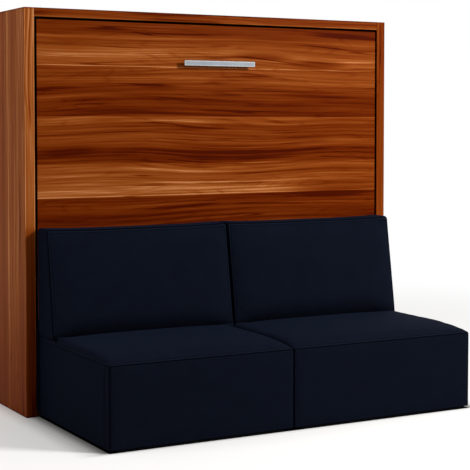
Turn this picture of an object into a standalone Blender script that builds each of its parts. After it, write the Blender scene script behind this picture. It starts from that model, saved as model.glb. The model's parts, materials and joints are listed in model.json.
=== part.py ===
"""A wall bed that tilts down sideways over a two-seat sofa.

Metres, +Z up, the front faces -Y. The origin is on the floor, in the middle of the whole footprint.
Each piece is an object of its own. What moves hangs from an empty that lies on its joint's axis.
"""
import math

import bmesh
import bpy
from mathutils import Vector

# Clearances and edges
FIT = 0.0003
OVERRUN = 0.005
PANEL_EDGE = 0.0015
STEEL_EDGE = 0.001

# Cabinet
CABINET_WIDTH = 2.222
CABINET_HEIGHT = 2.10
CABINET_DEPTH = 0.44
SIDE_THICKNESS = 0.055
TOP_THICKNESS = 0.046
BACK_THICKNESS = 0.012
PLINTH_HEIGHT = 0.035
PLINTH_THICKNESS = 0.018
PLINTH_SETBACK = 0.010
LOWER_PANEL_THICKNESS = 0.018
LOWER_PANEL_SIDE_GAP = 0.002
WALL_RAIL_HEIGHT = 0.10
WALL_RAIL_THICKNESS = 0.020

# Door and handle
REVEAL = 0.012
DOOR_THICKNESS = 0.022
DOOR_BOTTOM = 0.50
DOOR_TO_LOWER_PANEL = 0.035
HANDLE_LENGTH = 0.435
HANDLE_HEIGHT = 0.031
HANDLE_THICKNESS = 0.009
HANDLE_STANDOFF = 0.028
HANDLE_BELOW_TOP = 0.192
HANDLE_EDGE = 0.003
POST_RADIUS = 0.006
POST_INSET = 0.030

# Bed frame and mattress
END_GAP = 0.096
END_RAIL_WIDTH = 0.030
END_RAIL_DEPTH = 0.050
RAIL_WALL = 0.002
LONG_RAIL_DEPTH = 0.030
LONG_RAIL_HEIGHT = 0.030
FRAME_BELOW_TOP = 0.056
FRAME_ABOVE_BOTTOM = 0.045
BEAM_HEIGHT = 0.040
SLAT_COUNT = 10
SLAT_WIDTH = 0.070
SLAT_THICKNESS = 0.008
SLAT_ROOM = 0.050
MATTRESS_END_GAP = 0.010
MATTRESS_SIDE_GAP = 0.0205
MATTRESS_THICKNESS = 0.16
MATTRESS_EDGE = 0.025
STRAP_WIDTH = 0.040
STRAP_THICKNESS = 0.002

# Sofa: the seats stand on the floor, the backs fold forward on hinges behind the seat pads
SOFA_DEPTH = 0.892
SOFA_INSET = 0.075
SEAT_JOINT_X = -0.051
MODULE_GAP = 0.003
SKID_HEIGHT = 0.012
SKID_WIDTH = 0.030
SKID_INSET = 0.006
BASE_TOP = 0.282
BASE_WALL = 0.045
DECK_THICKNESS = 0.018
SEAT_CORNER = 0.009
SEAT_SEAM_HEIGHT = 0.401
SEAT_CROWN = 0.020
REAR_BEAM_TOP = 0.420
PAD_EDGE = 0.012
PAD_DRAW = 0.003
BACK_INSET = 0.071
BACK_SPLIT_X = -0.013
BACK_GAP = 0.006
BACK_TOP = 0.967
BACK_FOOT_DEPTH = 0.213
BACK_TOP_DEPTH = 0.134
BACK_BOARD_THICKNESS = 0.012
BACK_BOARD_INSET = 0.006
BACK_CROWN = 0.018
BACK_EDGE = 0.014

# Hinges of the backs
HINGE_LENGTH = 0.60
HINGE_PIN_RADIUS = 0.003
KNUCKLE_RADIUS = 0.008
KNUCKLE_COUNT = 5
KNUCKLE_GAP = 0.001
LEAF_THICKNESS = 0.0025
LEAF_WIDTH = 0.050
HINGE_BEHIND_FACE = 0.004

# Bed pivots and struts
FOLD_CLEARANCE = 0.030
PIVOT_PIN_RADIUS = 0.010
PIVOT_PLATE_SIZE = 0.100
PIVOT_PLATE_THICKNESS = 0.005
PIN_STICKOUT = 0.003
STRUT_LEVER = 0.130
STRUT_TO_BACK = 0.0625
STRUT_REACH_DEGREES = 45.0
STRUT_TUBE_RADIUS = 0.011
STRUT_MOUTH_GAP = 0.060
STRUT_ROD_RADIUS = 0.0045
STRUT_FLOOR = 0.070
EYE_RADIUS = 0.013
EYE_THICKNESS = 0.012
STUD_RADIUS = 0.006
ANCHOR_SIZE = 0.046
ANCHOR_THICKNESS = 0.003
BOSS_RADIUS = 0.012
EYE_CLEARANCE = 0.0005

# Counts, angles and axes
ACROSS = 0
UPRIGHT = 2
SMOOTH_DEGREES = 40.0
STRAP_PITCHES = 2
MATTRESS_EDGE_STEPS = 3
SEAT_CORNER_STEPS = 4
ROUND_PROFILE = 0.5
ROUND_SIDES = 24
CAGE_CUTS = 5
CAGE_ROWS = 3

# Places that several pieces share
FRONT_Y = (SOFA_DEPTH - CABINET_DEPTH) / 2
BACK_Y = FRONT_Y + CABINET_DEPTH
SEAT_FRONT_Y = FRONT_Y - SOFA_DEPTH
HALF_WIDTH = CABINET_WIDTH / 2
INNER_X = HALF_WIDTH - SIDE_THICKNESS
TOP_UNDERSIDE = CABINET_HEIGHT - TOP_THICKNESS
DOOR_HALF = INNER_X - REVEAL
DOOR_TOP = TOP_UNDERSIDE - REVEAL
HANDLE_TOP = DOOR_TOP - HANDLE_BELOW_TOP
LOWER_PANEL_TOP = DOOR_BOTTOM - DOOR_TO_LOWER_PANEL
FRAME_Y = FRONT_Y + DOOR_THICKNESS + FIT
FRAME_OUTER_X = INNER_X - END_GAP + END_RAIL_WIDTH
FRAME_LOW = DOOR_BOTTOM + FRAME_ABOVE_BOTTOM
FRAME_HIGH = DOOR_TOP - FRAME_BELOW_TOP
SLAT_Y = FRAME_Y + LONG_RAIL_DEPTH + FIT
MATTRESS_Y = SLAT_Y + SLAT_THICKNESS + FIT
MATTRESS_HALF = FRAME_OUTER_X - END_RAIL_WIDTH - MATTRESS_END_GAP
MATTRESS_LOW = FRAME_LOW + MATTRESS_SIDE_GAP
MATTRESS_HIGH = FRAME_HIGH - MATTRESS_SIDE_GAP
HINGE_Z = REAR_BEAM_TOP + FIT + KNUCKLE_RADIUS
HINGE_Y = FRONT_Y - BACK_FOOT_DEPTH + HINGE_BEHIND_FACE
BACK_REAR_Y = FRONT_Y - BACK_GAP
BACK_FOOT = HINGE_Z + KNUCKLE_RADIUS + FIT
FOLDED_BACK_HEIGHT = HINGE_Z + BACK_REAR_Y - HINGE_Y
PIVOT_Y = FRAME_Y + END_RAIL_DEPTH / 2
PIVOT_Z = FOLDED_BACK_HEIGHT + FOLD_CLEARANCE + PIVOT_Y - FRONT_Y
BEAM_FRONT_Y = HINGE_Y - KNUCKLE_RADIUS - KNUCKLE_GAP
DECK_TOP = BASE_TOP + FIT + DECK_THICKNESS
STRUT_X = (FRAME_OUTER_X + INNER_X) / 2
SLAT_REACH = FRAME_OUTER_X - END_RAIL_WIDTH - SLAT_ROOM - SLAT_WIDTH / 2
SLAT_PITCH = 2 * SLAT_REACH / (SLAT_COUNT - 1)

# Looks: base colour, roughness, metallic
WALNUT = ((0.262, 0.061, 0.0144), 0.35, 0.0)
DARK_WALNUT = ((0.040, 0.012, 0.005), 0.45, 0.0)
NAVY = ((0.0065, 0.0097, 0.0185), 0.85, 0.0)
SATIN_METAL = ((0.40, 0.40, 0.41), 0.30, 1.0)
DARK_STEEL = ((0.045, 0.045, 0.048), 0.45, 0.6)
BRIGHT_STEEL = ((0.55, 0.55, 0.56), 0.25, 1.0)
BEECH = ((0.60, 0.42, 0.24), 0.50, 0.0)
PLYWOOD = ((0.50, 0.36, 0.20), 0.60, 0.0)
TICKING = ((0.74, 0.73, 0.70), 0.90, 0.0)
WEBBING = ((0.02, 0.02, 0.022), 0.80, 0.0)
BLACK_PLASTIC = ((0.010, 0.010, 0.011), 0.50, 0.0)

for leftover in list(bpy.data.objects):
    bpy.data.objects.remove(leftover, do_unlink=True)

PARTS = bpy.data.collections.new("wall_bed_with_sofa")
CUTTERS = bpy.data.collections.new("wall_bed_cutters")
for group in (PARTS, CUTTERS):
    bpy.context.scene.collection.children.link(group)


def finish(piece, look):
    """Give a piece a material of its own."""
    color, roughness, metallic = look
    material = bpy.data.materials.new(piece.name)
    material.use_nodes = True
    shader = material.node_tree.nodes["Principled BSDF"]
    shader.inputs["Base Color"].default_value = (*color, 1)
    shader.inputs["Roughness"].default_value = roughness
    shader.inputs["Metallic"].default_value = metallic
    piece.data.materials.append(material)


def place(name, data, look, centre, carrier=None):
    """Put a mesh or curve at its centre; a piece without a look is a cutter."""
    piece = bpy.data.objects.new(name, data)
    if look:
        PARTS.objects.link(piece)
        finish(piece, look)
    else:
        CUTTERS.objects.link(piece)
        piece.hide_render = True
        piece.display_type = "WIRE"
    piece.location = Vector(centre)
    if carrier:
        piece.parent = carrier
        piece.location = Vector(centre) - carrier.location
    return piece


def mesh_from(name, bm):
    """Turn a bmesh into a named mesh."""
    mesh = bpy.data.meshes.new(name)
    bm.to_mesh(mesh)
    bm.free()
    return mesh


def soften(piece, width, segments):
    """Ease the sharp edges of a piece."""
    bevel = piece.modifiers.new("Bevel", "BEVEL")
    bevel.width = width
    bevel.segments = segments
    bevel.limit_method = "ANGLE"


def combine(piece, other, operation):
    """Join a cutter to a piece, or take it away."""
    step = piece.modifiers.new(f"{operation.title()} {other.name}", "BOOLEAN")
    step.operation = operation
    step.object = other
    step.solver = "EXACT"


def box(name, low, high, look, edge=0, carrier=None, segments=1):
    """A block between two corners."""
    low = Vector(low)
    high = Vector(high)
    bm = bmesh.new()
    bmesh.ops.create_cube(bm, size=1)
    bmesh.ops.scale(bm, vec=high - low, verts=bm.verts)
    piece = place(name, mesh_from(name, bm), look, (low + high) / 2, carrier)
    if edge:
        soften(piece, edge, segments)
    return piece


def front_rounded(name, low, high, look):
    """A block between two corners, whose two upright front edges are rounded."""
    low = Vector(low)
    high = Vector(high)
    bm = bmesh.new()
    bmesh.ops.create_cube(bm, size=1)
    bmesh.ops.scale(bm, vec=high - low, verts=bm.verts)
    front_edges = [edge for edge in bm.edges if all(vert.co.y < 0 for vert in edge.verts)]
    uprights = [edge for edge in front_edges if edge.verts[0].co.x * edge.verts[1].co.x > 0]
    bmesh.ops.bevel(
        bm,
        geom=uprights,
        offset=SEAT_CORNER,
        offset_type="OFFSET",
        segments=SEAT_CORNER_STEPS,
        profile=ROUND_PROFILE,
        affect="EDGES",
    )
    return place(name, mesh_from(name, bm), look, (low + high) / 2)


def rod(name, start, end, radius, look, carrier=None):
    """A round bar between two points."""
    start = Vector(start)
    end = Vector(end)
    bm = bmesh.new()
    bmesh.ops.create_cone(
        bm, cap_ends=True, segments=ROUND_SIDES, radius1=radius, radius2=radius, depth=(end - start).length
    )
    mesh = mesh_from(name, bm)
    mesh.shade_smooth()
    mesh.set_sharp_from_angle(angle=math.radians(SMOOTH_DEGREES))
    piece = place(name, mesh, look, (start + end) / 2, carrier)
    piece.rotation_mode = "QUATERNION"
    piece.rotation_quaternion = (end - start).to_track_quat("Z", "Y")
    return piece


def bore(piece, name, start, end, radius, carrier=None):
    """Cut a round hole whose flats keep the fit clear of a round bar of the radius."""
    wide = (radius + FIT) / math.cos(math.pi / ROUND_SIDES)
    combine(piece, rod(name, start, end, wide, None, carrier), "DIFFERENCE")


def tube_bar(name, low, high, along, carrier):
    """A square steel tube between two corners, open at both ends of the axis that it runs along."""
    piece = box(name, low, high, DARK_STEEL, STEEL_EDGE, carrier)
    inner_low = Vector(low)
    inner_high = Vector(high)
    for index in range(len(inner_low)):
        inset = -OVERRUN if index == along else RAIL_WALL
        inner_low[index] += inset
        inner_high[index] -= inset
    combine(piece, box(f"{name}_hollow", inner_low, inner_high, None, 0, carrier), "DIFFERENCE")
    return piece


def profile(name, points, low_x, high_x, look, carrier=None):
    """A flat outline of (y, z) points, as thick as the span in x."""
    curve = bpy.data.curves.new(name, "CURVE")
    curve.dimensions = "2D"
    curve.fill_mode = "BOTH"
    curve.extrude = (high_x - low_x) / 2
    outline = curve.splines.new("POLY")
    outline.points.add(len(points) - 1)
    outline.use_cyclic_u = True
    first_y, first_z = points[0]
    for point, (y, z) in zip(outline.points, points):
        point.co = (y - first_y, z - first_z, 0, 1)
    piece = place(name, curve, look, ((low_x + high_x) / 2, first_y, first_z), carrier)
    piece.rotation_euler = (math.pi / 2, 0, math.pi / 2)
    return piece


def axis_empty(name, y, z):
    """An empty on a joint's axis."""
    empty = bpy.data.objects.new(name, None)
    empty.location = (0, y, z)
    PARTS.objects.link(empty)
    return empty


def toward_edge(row, margin):
    """Spread a cage's rows so that the outermost free row lies a margin, as a share, from the edge."""
    step = abs(row) * CAGE_ROWS
    inner = 1 - margin
    free_rows = CAGE_ROWS - 1
    reach = inner * min(step, free_rows) / free_rows + margin * max(step - free_rows, 0)
    return math.copysign(reach, row)


def soft_block(name, low, high, edge, shape, look, carrier=None):
    """A cushion: the cage of a block, moved by shape(u, v, w, point), and rounded by subdivision."""
    low = Vector(low)
    high = Vector(high)
    centre = (low + high) / 2
    half = (high - low) / 2
    bm = bmesh.new()
    bmesh.ops.create_cube(bm, size=1)
    bmesh.ops.subdivide_edges(bm, edges=bm.edges[:], cuts=CAGE_CUTS, use_grid_fill=True)
    for vert in bm.verts:
        rows = vert.co * 2
        spread = [toward_edge(row, edge / size) * size for row, size in zip(rows, half)]
        vert.co = shape(rows.x, rows.y, rows.z, centre + Vector(spread)) - centre
    mesh = mesh_from(name, bm)
    mesh.shade_smooth()
    piece = place(name, mesh, look, centre, carrier)
    rounding = piece.modifiers.new("Subdivision", "SUBSURF")
    rounding.levels = 1
    rounding.render_levels = 1
    return piece


def dome(a, b):
    """How full a face is at a place on it: 1 in the middle, 0 at its edges."""
    return (1 - a ** 4) * (1 - b ** 4)


def build_cabinet():
    """Sides, top, back, plinth, lower panel and the two rails that are screwed to the wall."""
    for side, name in ((-1, "left_side_panel"), (1, "right_side_panel")):
        faces = sorted((side * INNER_X, side * HALF_WIDTH))
        box(name, (faces[0], FRONT_Y, 0), (faces[1], BACK_Y, CABINET_HEIGHT), WALNUT, PANEL_EDGE)
    between = INNER_X - FIT
    board_y = BACK_Y - BACK_THICKNESS
    top_corner = (between, board_y - FIT, CABINET_HEIGHT)
    box("top_panel", (-between, FRONT_Y, TOP_UNDERSIDE), top_corner, WALNUT, PANEL_EDGE)
    box("back_panel", (-between, board_y, 0), (between, BACK_Y, CABINET_HEIGHT), DARK_WALNUT)
    plinth_y = FRONT_Y + PLINTH_SETBACK
    plinth_corner = (between, plinth_y + PLINTH_THICKNESS, PLINTH_HEIGHT)
    box("plinth", (-between, plinth_y, 0), plinth_corner, DARK_WALNUT, PANEL_EDGE)
    panel_x = INNER_X - LOWER_PANEL_SIDE_GAP
    box(
        "lower_front_panel",
        (-panel_x, FRONT_Y, PLINTH_HEIGHT + FIT),
        (panel_x, FRONT_Y + LOWER_PANEL_THICKNESS, LOWER_PANEL_TOP),
        NAVY,
        PANEL_EDGE,
    )
    rail_y = board_y - FIT - WALL_RAIL_THICKNESS
    rail_top = TOP_UNDERSIDE - FIT
    for name, low in (("wall_rail_lower", 0), ("wall_rail_upper", rail_top - WALL_RAIL_HEIGHT)):
        high_corner = (between, rail_y + WALL_RAIL_THICKNESS, low + WALL_RAIL_HEIGHT)
        box(name, (-between, rail_y, low), high_corner, PLYWOOD, PANEL_EDGE)


def build_pivots():
    """Plates and pins on the side panels that carry the bed, and the studs that hold its struts."""
    anchor_y = BACK_Y - BACK_THICKNESS - STRUT_TO_BACK
    anchor_z = PIVOT_Z + (anchor_y - PIVOT_Y) / math.tan(math.radians(STRUT_REACH_DEGREES))
    for side, end in ((-1, "left"), (1, "right")):
        wall = side * (INNER_X - FIT)
        face = wall - side * PIVOT_PLATE_THICKNESS
        half = PIVOT_PLATE_SIZE / 2
        faces = sorted((wall, face))
        box(
            f"pivot_plate_{end}",
            (faces[0], FRAME_Y, PIVOT_Z - half),
            (faces[1], FRAME_Y + PIVOT_PLATE_SIZE, PIVOT_Z + half),
            DARK_STEEL,
            STEEL_EDGE,
        )
        tip = side * (FRAME_OUTER_X - END_RAIL_WIDTH - PIN_STICKOUT)
        rod(
            f"pivot_pin_{end}",
            (face - side * FIT, PIVOT_Y, PIVOT_Z),
            (tip, PIVOT_Y, PIVOT_Z),
            PIVOT_PIN_RADIUS,
            BRIGHT_STEEL,
        )
        plate = wall - side * ANCHOR_THICKNESS
        faces = sorted((wall, plate))
        half = ANCHOR_SIZE / 2
        anchor = box(
            f"strut_anchor_{end}",
            (faces[0], anchor_y - half, anchor_z - half),
            (faces[1], anchor_y + half, anchor_z + half),
            DARK_STEEL,
        )
        stud = rod(
            f"strut_stud_{end}",
            (wall - side * ANCHOR_THICKNESS / 2, anchor_y, anchor_z),
            (side * (STRUT_X - EYE_THICKNESS / 2 - EYE_CLEARANCE), anchor_y, anchor_z),
            STUD_RADIUS,
            None,
        )
        combine(anchor, stud, "UNION")
    return anchor_y, anchor_z


def build_strut(side, end, anchor_y, anchor_z):
    """A strut's tube, which swings on its stud, and the rod that slides out of it."""
    x = side * STRUT_X
    anchor = Vector((x, anchor_y, anchor_z))
    lever = Vector((x, PIVOT_Y, PIVOT_Z + STRUT_LEVER))
    along = (lever - anchor).normalized()
    across = Vector((EYE_THICKNESS / 2, 0, 0))
    past = Vector((EYE_THICKNESS, 0, 0))
    carrier = axis_empty(f"strut_axis_{end}", anchor_y, anchor_z)
    mouth = lever - along * STRUT_MOUTH_GAP
    into_eye = along * EYE_RADIUS / 2
    tube = rod(f"strut_tube_{end}", anchor + into_eye, mouth, STRUT_TUBE_RADIUS, DARK_STEEL, carrier)
    eye = rod(f"tube_eye_{end}", anchor - across, anchor + across, EYE_RADIUS, None, carrier)
    combine(tube, eye, "UNION")
    bore(tube, f"tube_eye_bore_{end}", anchor - past, anchor + past, STUD_RADIUS, carrier)
    floor = anchor + along * STRUT_FLOOR
    overrun = along * OVERRUN
    bore(tube, f"tube_bore_{end}", floor - overrun, mouth + overrun, STRUT_ROD_RADIUS, carrier)
    bar = rod(f"strut_rod_{end}", floor, lever - into_eye, STRUT_ROD_RADIUS, BRIGHT_STEEL, carrier)
    rod_eye = rod(f"rod_eye_{end}", lever - across, lever + across, EYE_RADIUS, None, carrier)
    combine(bar, rod_eye, "UNION")


def build_bed(carrier):
    """Everything that tilts: door, handle, frame, slats, mattress and its straps."""
    box(
        "bed_door",
        (-DOOR_HALF, FRONT_Y, DOOR_BOTTOM),
        (DOOR_HALF, FRONT_Y + DOOR_THICKNESS, DOOR_TOP),
        WALNUT,
        PANEL_EDGE,
        carrier,
    )
    build_handle(carrier)
    inner_x = FRAME_OUTER_X - END_RAIL_WIDTH
    for side, end in ((-1, "left"), (1, "right")):
        faces = sorted((side * inner_x, side * FRAME_OUTER_X))
        rail = tube_bar(
            f"end_rail_{end}",
            (faces[0], FRAME_Y, FRAME_LOW),
            (faces[1], FRAME_Y + END_RAIL_DEPTH, FRAME_HIGH),
            UPRIGHT,
            carrier,
        )
        eye_face = STRUT_X - EYE_THICKNESS / 2 - EYE_CLEARANCE
        boss = rod(
            f"strut_boss_{end}",
            (side * (FRAME_OUTER_X - RAIL_WALL / 2), PIVOT_Y, PIVOT_Z + STRUT_LEVER),
            (side * eye_face, PIVOT_Y, PIVOT_Z + STRUT_LEVER),
            BOSS_RADIUS,
            None,
            carrier,
        )
        combine(rail, boss, "UNION")
        bore(
            rail,
            f"pivot_bore_{end}",
            (side * (inner_x - OVERRUN), PIVOT_Y, PIVOT_Z),
            (side * (FRAME_OUTER_X + OVERRUN), PIVOT_Y, PIVOT_Z),
            PIVOT_PIN_RADIUS,
            carrier,
        )
    span = inner_x - FIT
    middle = (FRAME_LOW + FRAME_HIGH) / 2
    for name, low, height in (
        ("long_rail_lower", FRAME_LOW, LONG_RAIL_HEIGHT),
        ("centre_beam", middle - BEAM_HEIGHT / 2, BEAM_HEIGHT),
        ("long_rail_upper", FRAME_HIGH - LONG_RAIL_HEIGHT, LONG_RAIL_HEIGHT),
    ):
        tube_bar(name, (-span, FRAME_Y, low), (span, FRAME_Y + LONG_RAIL_DEPTH, low + height), ACROSS, carrier)
    build_slats(carrier)
    build_mattress(carrier)


def build_handle(carrier):
    """A flat bar on two posts, made in one piece."""
    half = HANDLE_LENGTH / 2
    bar_back = FRONT_Y - HANDLE_STANDOFF
    low_z = HANDLE_TOP - HANDLE_HEIGHT
    bar = box(
        "handle",
        (-half, bar_back - HANDLE_THICKNESS, low_z),
        (half, bar_back, HANDLE_TOP),
        SATIN_METAL,
        HANDLE_EDGE,
        carrier,
    )
    for side, end in ((-1, "left"), (1, "right")):
        x = side * (half - POST_INSET)
        z = HANDLE_TOP - HANDLE_HEIGHT / 2
        inside = bar_back - HANDLE_THICKNESS / 2
        post = rod(f"handle_post_{end}", (x, inside, z), (x, FRONT_Y - FIT, z), POST_RADIUS, None, carrier)
        combine(bar, post, "UNION")


def build_slats(carrier):
    """Slats across the bed, evenly spread between the end rails."""
    half = SLAT_WIDTH / 2
    for index in range(SLAT_COUNT):
        x = index * SLAT_PITCH - SLAT_REACH
        box(
            f"slat_{index + 1:02d}",
            (x - half, SLAT_Y, FRAME_LOW),
            (x + half, SLAT_Y + SLAT_THICKNESS, FRAME_HIGH),
            BEECH,
            STEEL_EDGE,
            carrier,
        )


def build_mattress(carrier):
    """The mattress, and the two straps that hold it on its slats while the bed is up."""
    rear = MATTRESS_Y + MATTRESS_THICKNESS
    high = MATTRESS_HIGH
    low_corner = (-MATTRESS_HALF, MATTRESS_Y, MATTRESS_LOW)
    high_corner = (MATTRESS_HALF, rear, high)
    box("mattress", low_corner, high_corner, TICKING, MATTRESS_EDGE, carrier, MATTRESS_EDGE_STEPS)
    outer = FIT + STRAP_THICKNESS
    points = (
        (SLAT_Y, MATTRESS_LOW - FIT),
        (rear + FIT, MATTRESS_LOW - FIT),
        (rear + FIT, high + FIT),
        (SLAT_Y, high + FIT),
        (SLAT_Y, high + outer),
        (rear + outer, high + outer),
        (rear + outer, MATTRESS_LOW - outer),
        (SLAT_Y, MATTRESS_LOW - outer),
    )
    for side, end in ((-1, "left"), (1, "right")):
        x = side * SLAT_PITCH * STRAP_PITCHES
        profile(f"strap_{end}", points, x - STRAP_WIDTH / 2, x + STRAP_WIDTH / 2, WEBBING, carrier)


def build_seat(end, low_x, high_x):
    """One seat: a frame open below, skids, a deck board and a crowned pad, with a beam under the back."""
    rear = FRONT_Y - FIT
    base_low = (low_x, SEAT_FRONT_Y, SKID_HEIGHT + FIT)
    base = front_rounded(f"seat_base_{end}", base_low, (high_x, rear, BASE_TOP), NAVY)
    hollow = box(
        f"seat_hollow_{end}",
        (low_x + BASE_WALL, SEAT_FRONT_Y + BASE_WALL, -OVERRUN),
        (high_x - BASE_WALL, rear - BASE_WALL, BASE_TOP + OVERRUN),
        None,
    )
    combine(base, hollow, "DIFFERENCE")
    beam = box(
        f"rear_beam_{end}",
        (low_x, BEAM_FRONT_Y, BASE_TOP - DECK_THICKNESS),
        (high_x, rear, REAR_BEAM_TOP),
        None,
    )
    combine(base, beam, "UNION")
    for name, skid_y in (("front", SEAT_FRONT_Y + SKID_INSET), ("rear", rear - SKID_INSET - SKID_WIDTH)):
        box(
            f"skid_{end}_{name}",
            (low_x + BASE_WALL, skid_y, 0),
            (high_x - BASE_WALL, skid_y + SKID_WIDTH, SKID_HEIGHT),
            BLACK_PLASTIC,
            STEEL_EDGE,
        )
    deck_rear = BEAM_FRONT_Y - FIT
    deck_low = (low_x, SEAT_FRONT_Y, BASE_TOP + FIT)
    front_rounded(f"seat_deck_{end}", deck_low, (high_x, deck_rear, DECK_TOP), PLYWOOD)

    def crowned(u, v, w, point):
        """Raise the top in a crown and draw the upright sides in between their corners."""
        lift = SEAT_CROWN * dome(u, v) * max(w, 0)
        draw = PAD_DRAW * (1 - w ** 2)
        pull_x = draw * (1 - v ** 4) * u ** 3
        pull_y = draw * (1 - u ** 4) * v ** 3
        return point + Vector((-pull_x, -pull_y, lift))

    low = (low_x, SEAT_FRONT_Y, DECK_TOP + FIT)
    high = (high_x, deck_rear, SEAT_SEAM_HEIGHT)
    soft_block(f"seat_pad_{end}", low, high, PAD_EDGE, crowned, NAVY)


def build_back(end, low_x, high_x):
    """One back: hinge, L-shaped board and leaning cushion, on an empty at the hinge."""
    carrier = axis_empty(f"back_axis_{end}", HINGE_Y, HINGE_Z)
    middle = (low_x + high_x) / 2
    build_hinge(end, middle, carrier)
    board_top = BACK_TOP - BACK_BOARD_INSET * 2
    inner_y = BACK_REAR_Y - BACK_BOARD_THICKNESS
    shelf = BACK_FOOT + BACK_BOARD_THICKNESS
    front_y = HINGE_Y + KNUCKLE_RADIUS
    outline = (
        (front_y, BACK_FOOT),
        (BACK_REAR_Y, BACK_FOOT),
        (BACK_REAR_Y, board_top),
        (inner_y, board_top),
        (inner_y, shelf),
        (front_y, shelf),
    )
    board_low_x = low_x + BACK_BOARD_INSET
    board_high_x = high_x - BACK_BOARD_INSET
    profile(f"back_board_{end}", outline, board_low_x, board_high_x, PLYWOOD, carrier)
    foot_y = FRONT_Y - BACK_FOOT_DEPTH
    lean = BACK_FOOT_DEPTH - BACK_TOP_DEPTH
    low = (low_x, foot_y, shelf + FIT)
    high = (high_x, inner_y - FIT, BACK_TOP)
    rear_y = inner_y - FIT

    def leaning(u, v, w, point):
        """Lean the front face back towards its top, crown it, and draw the ends in a little."""
        height_share = (point.z - low[2]) / (high[2] - low[2])
        front_share = (rear_y - point.y) / (rear_y - foot_y)
        shift = lean * height_share * front_share
        swell = BACK_CROWN * dome(u, w) * max(-v, 0)
        pull_x = PAD_DRAW * (1 - w ** 4) * u ** 3
        return point + Vector((-pull_x, shift - swell, 0))

    soft_block(f"back_cushion_{end}", low, high, BACK_EDGE, leaning, NAVY, carrier)


def build_hinge(end, middle, carrier):
    """A knuckle hinge in the crease: a fixed leaf on the beam, a moving leaf under the board, and a pin."""
    start_x = middle - HINGE_LENGTH / 2
    knuckle = HINGE_LENGTH / KNUCKLE_COUNT
    end_x = start_x + HINGE_LENGTH
    leaf_y = HINGE_Y + KNUCKLE_RADIUS + KNUCKLE_GAP
    leaves = (
        ("hinge_leaf_fixed", HINGE_Z - KNUCKLE_RADIUS, 0, None),
        ("hinge_leaf_moving", HINGE_Z + KNUCKLE_RADIUS - LEAF_THICKNESS, 1, carrier),
    )
    for name, low_z, first, holder in leaves:
        high_z = low_z + LEAF_THICKNESS
        leaf_corner = (end_x, leaf_y + LEAF_WIDTH, high_z)
        leaf = box(f"{name}_{end}", (start_x, leaf_y, low_z), leaf_corner, BRIGHT_STEEL, 0, holder)
        for index in range(first, KNUCKLE_COUNT, 2):
            low_x = start_x + index * knuckle + KNUCKLE_GAP / 2
            high_x = low_x + knuckle - KNUCKLE_GAP
            tongue = box(
                f"{name}_tongue_{end}_{index}",
                (low_x, HINGE_Y, low_z),
                (high_x, leaf_y + LEAF_THICKNESS, high_z),
                None,
                0,
                holder,
            )
            barrel = rod(
                f"{name}_barrel_{end}_{index}",
                (low_x, HINGE_Y, HINGE_Z),
                (high_x, HINGE_Y, HINGE_Z),
                KNUCKLE_RADIUS,
                None,
                holder,
            )
            combine(leaf, tongue, "UNION")
            combine(leaf, barrel, "UNION")
        bore(
            leaf,
            f"{name}_bore_{end}",
            (start_x - OVERRUN, HINGE_Y, HINGE_Z),
            (end_x + OVERRUN, HINGE_Y, HINGE_Z),
            HINGE_PIN_RADIUS,
            holder,
        )
    pin_end = (end_x, HINGE_Y, HINGE_Z)
    rod(f"hinge_pin_{end}", (start_x, HINGE_Y, HINGE_Z), pin_end, HINGE_PIN_RADIUS, BRIGHT_STEEL)


def main():
    """Build the cabinet, the bed, its struts and the sofa."""
    build_cabinet()
    anchor_y, anchor_z = build_pivots()
    build_bed(axis_empty("bed_axis", PIVOT_Y, PIVOT_Z))
    for side, end in ((-1, "left"), (1, "right")):
        build_strut(side, end, anchor_y, anchor_z)
    half_gap = MODULE_GAP / 2
    seat_x = HALF_WIDTH - SOFA_INSET
    build_seat("left", -seat_x, SEAT_JOINT_X - half_gap)
    build_seat("right", SEAT_JOINT_X + half_gap, seat_x)
    back_x = HALF_WIDTH - BACK_INSET
    build_back("left", -back_x, BACK_SPLIT_X - half_gap)
    build_back("right", BACK_SPLIT_X + half_gap, back_x)


main()
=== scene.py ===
"""Wall bed with a two-seat sofa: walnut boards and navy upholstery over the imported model."""
import json
import math

import bmesh
import bpy
import numpy as np
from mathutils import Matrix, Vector


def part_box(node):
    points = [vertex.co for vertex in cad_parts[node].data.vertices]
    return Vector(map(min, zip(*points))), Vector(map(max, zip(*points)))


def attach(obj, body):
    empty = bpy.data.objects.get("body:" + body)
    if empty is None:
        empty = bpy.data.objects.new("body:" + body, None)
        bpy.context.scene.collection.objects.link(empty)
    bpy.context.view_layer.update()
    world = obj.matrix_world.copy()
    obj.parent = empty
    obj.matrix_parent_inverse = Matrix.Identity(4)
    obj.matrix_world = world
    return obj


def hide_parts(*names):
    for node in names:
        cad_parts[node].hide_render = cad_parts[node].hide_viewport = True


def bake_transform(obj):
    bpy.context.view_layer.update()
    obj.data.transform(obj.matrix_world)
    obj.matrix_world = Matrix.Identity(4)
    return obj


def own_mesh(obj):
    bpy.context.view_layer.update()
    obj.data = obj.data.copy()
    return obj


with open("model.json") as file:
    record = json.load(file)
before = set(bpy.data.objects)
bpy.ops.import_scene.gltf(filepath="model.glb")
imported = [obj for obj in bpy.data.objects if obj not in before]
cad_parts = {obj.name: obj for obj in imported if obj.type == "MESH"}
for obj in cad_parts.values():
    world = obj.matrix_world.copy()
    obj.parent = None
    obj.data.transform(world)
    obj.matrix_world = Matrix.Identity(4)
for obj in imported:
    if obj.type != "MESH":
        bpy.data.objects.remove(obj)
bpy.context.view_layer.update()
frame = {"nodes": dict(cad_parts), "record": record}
nodes = frame["nodes"]
scene = bpy.context.scene
scene.view_settings.view_transform = "Standard"


def tint(red, green, blue):
    """A screen colour as the shader takes it."""
    shares = [value / 255 for value in (red, green, blue)]
    return (*[v / 12.92 if v <= 0.04045 else ((v + 0.055) / 1.055) ** 2.4 for v in shares], 1)


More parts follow.
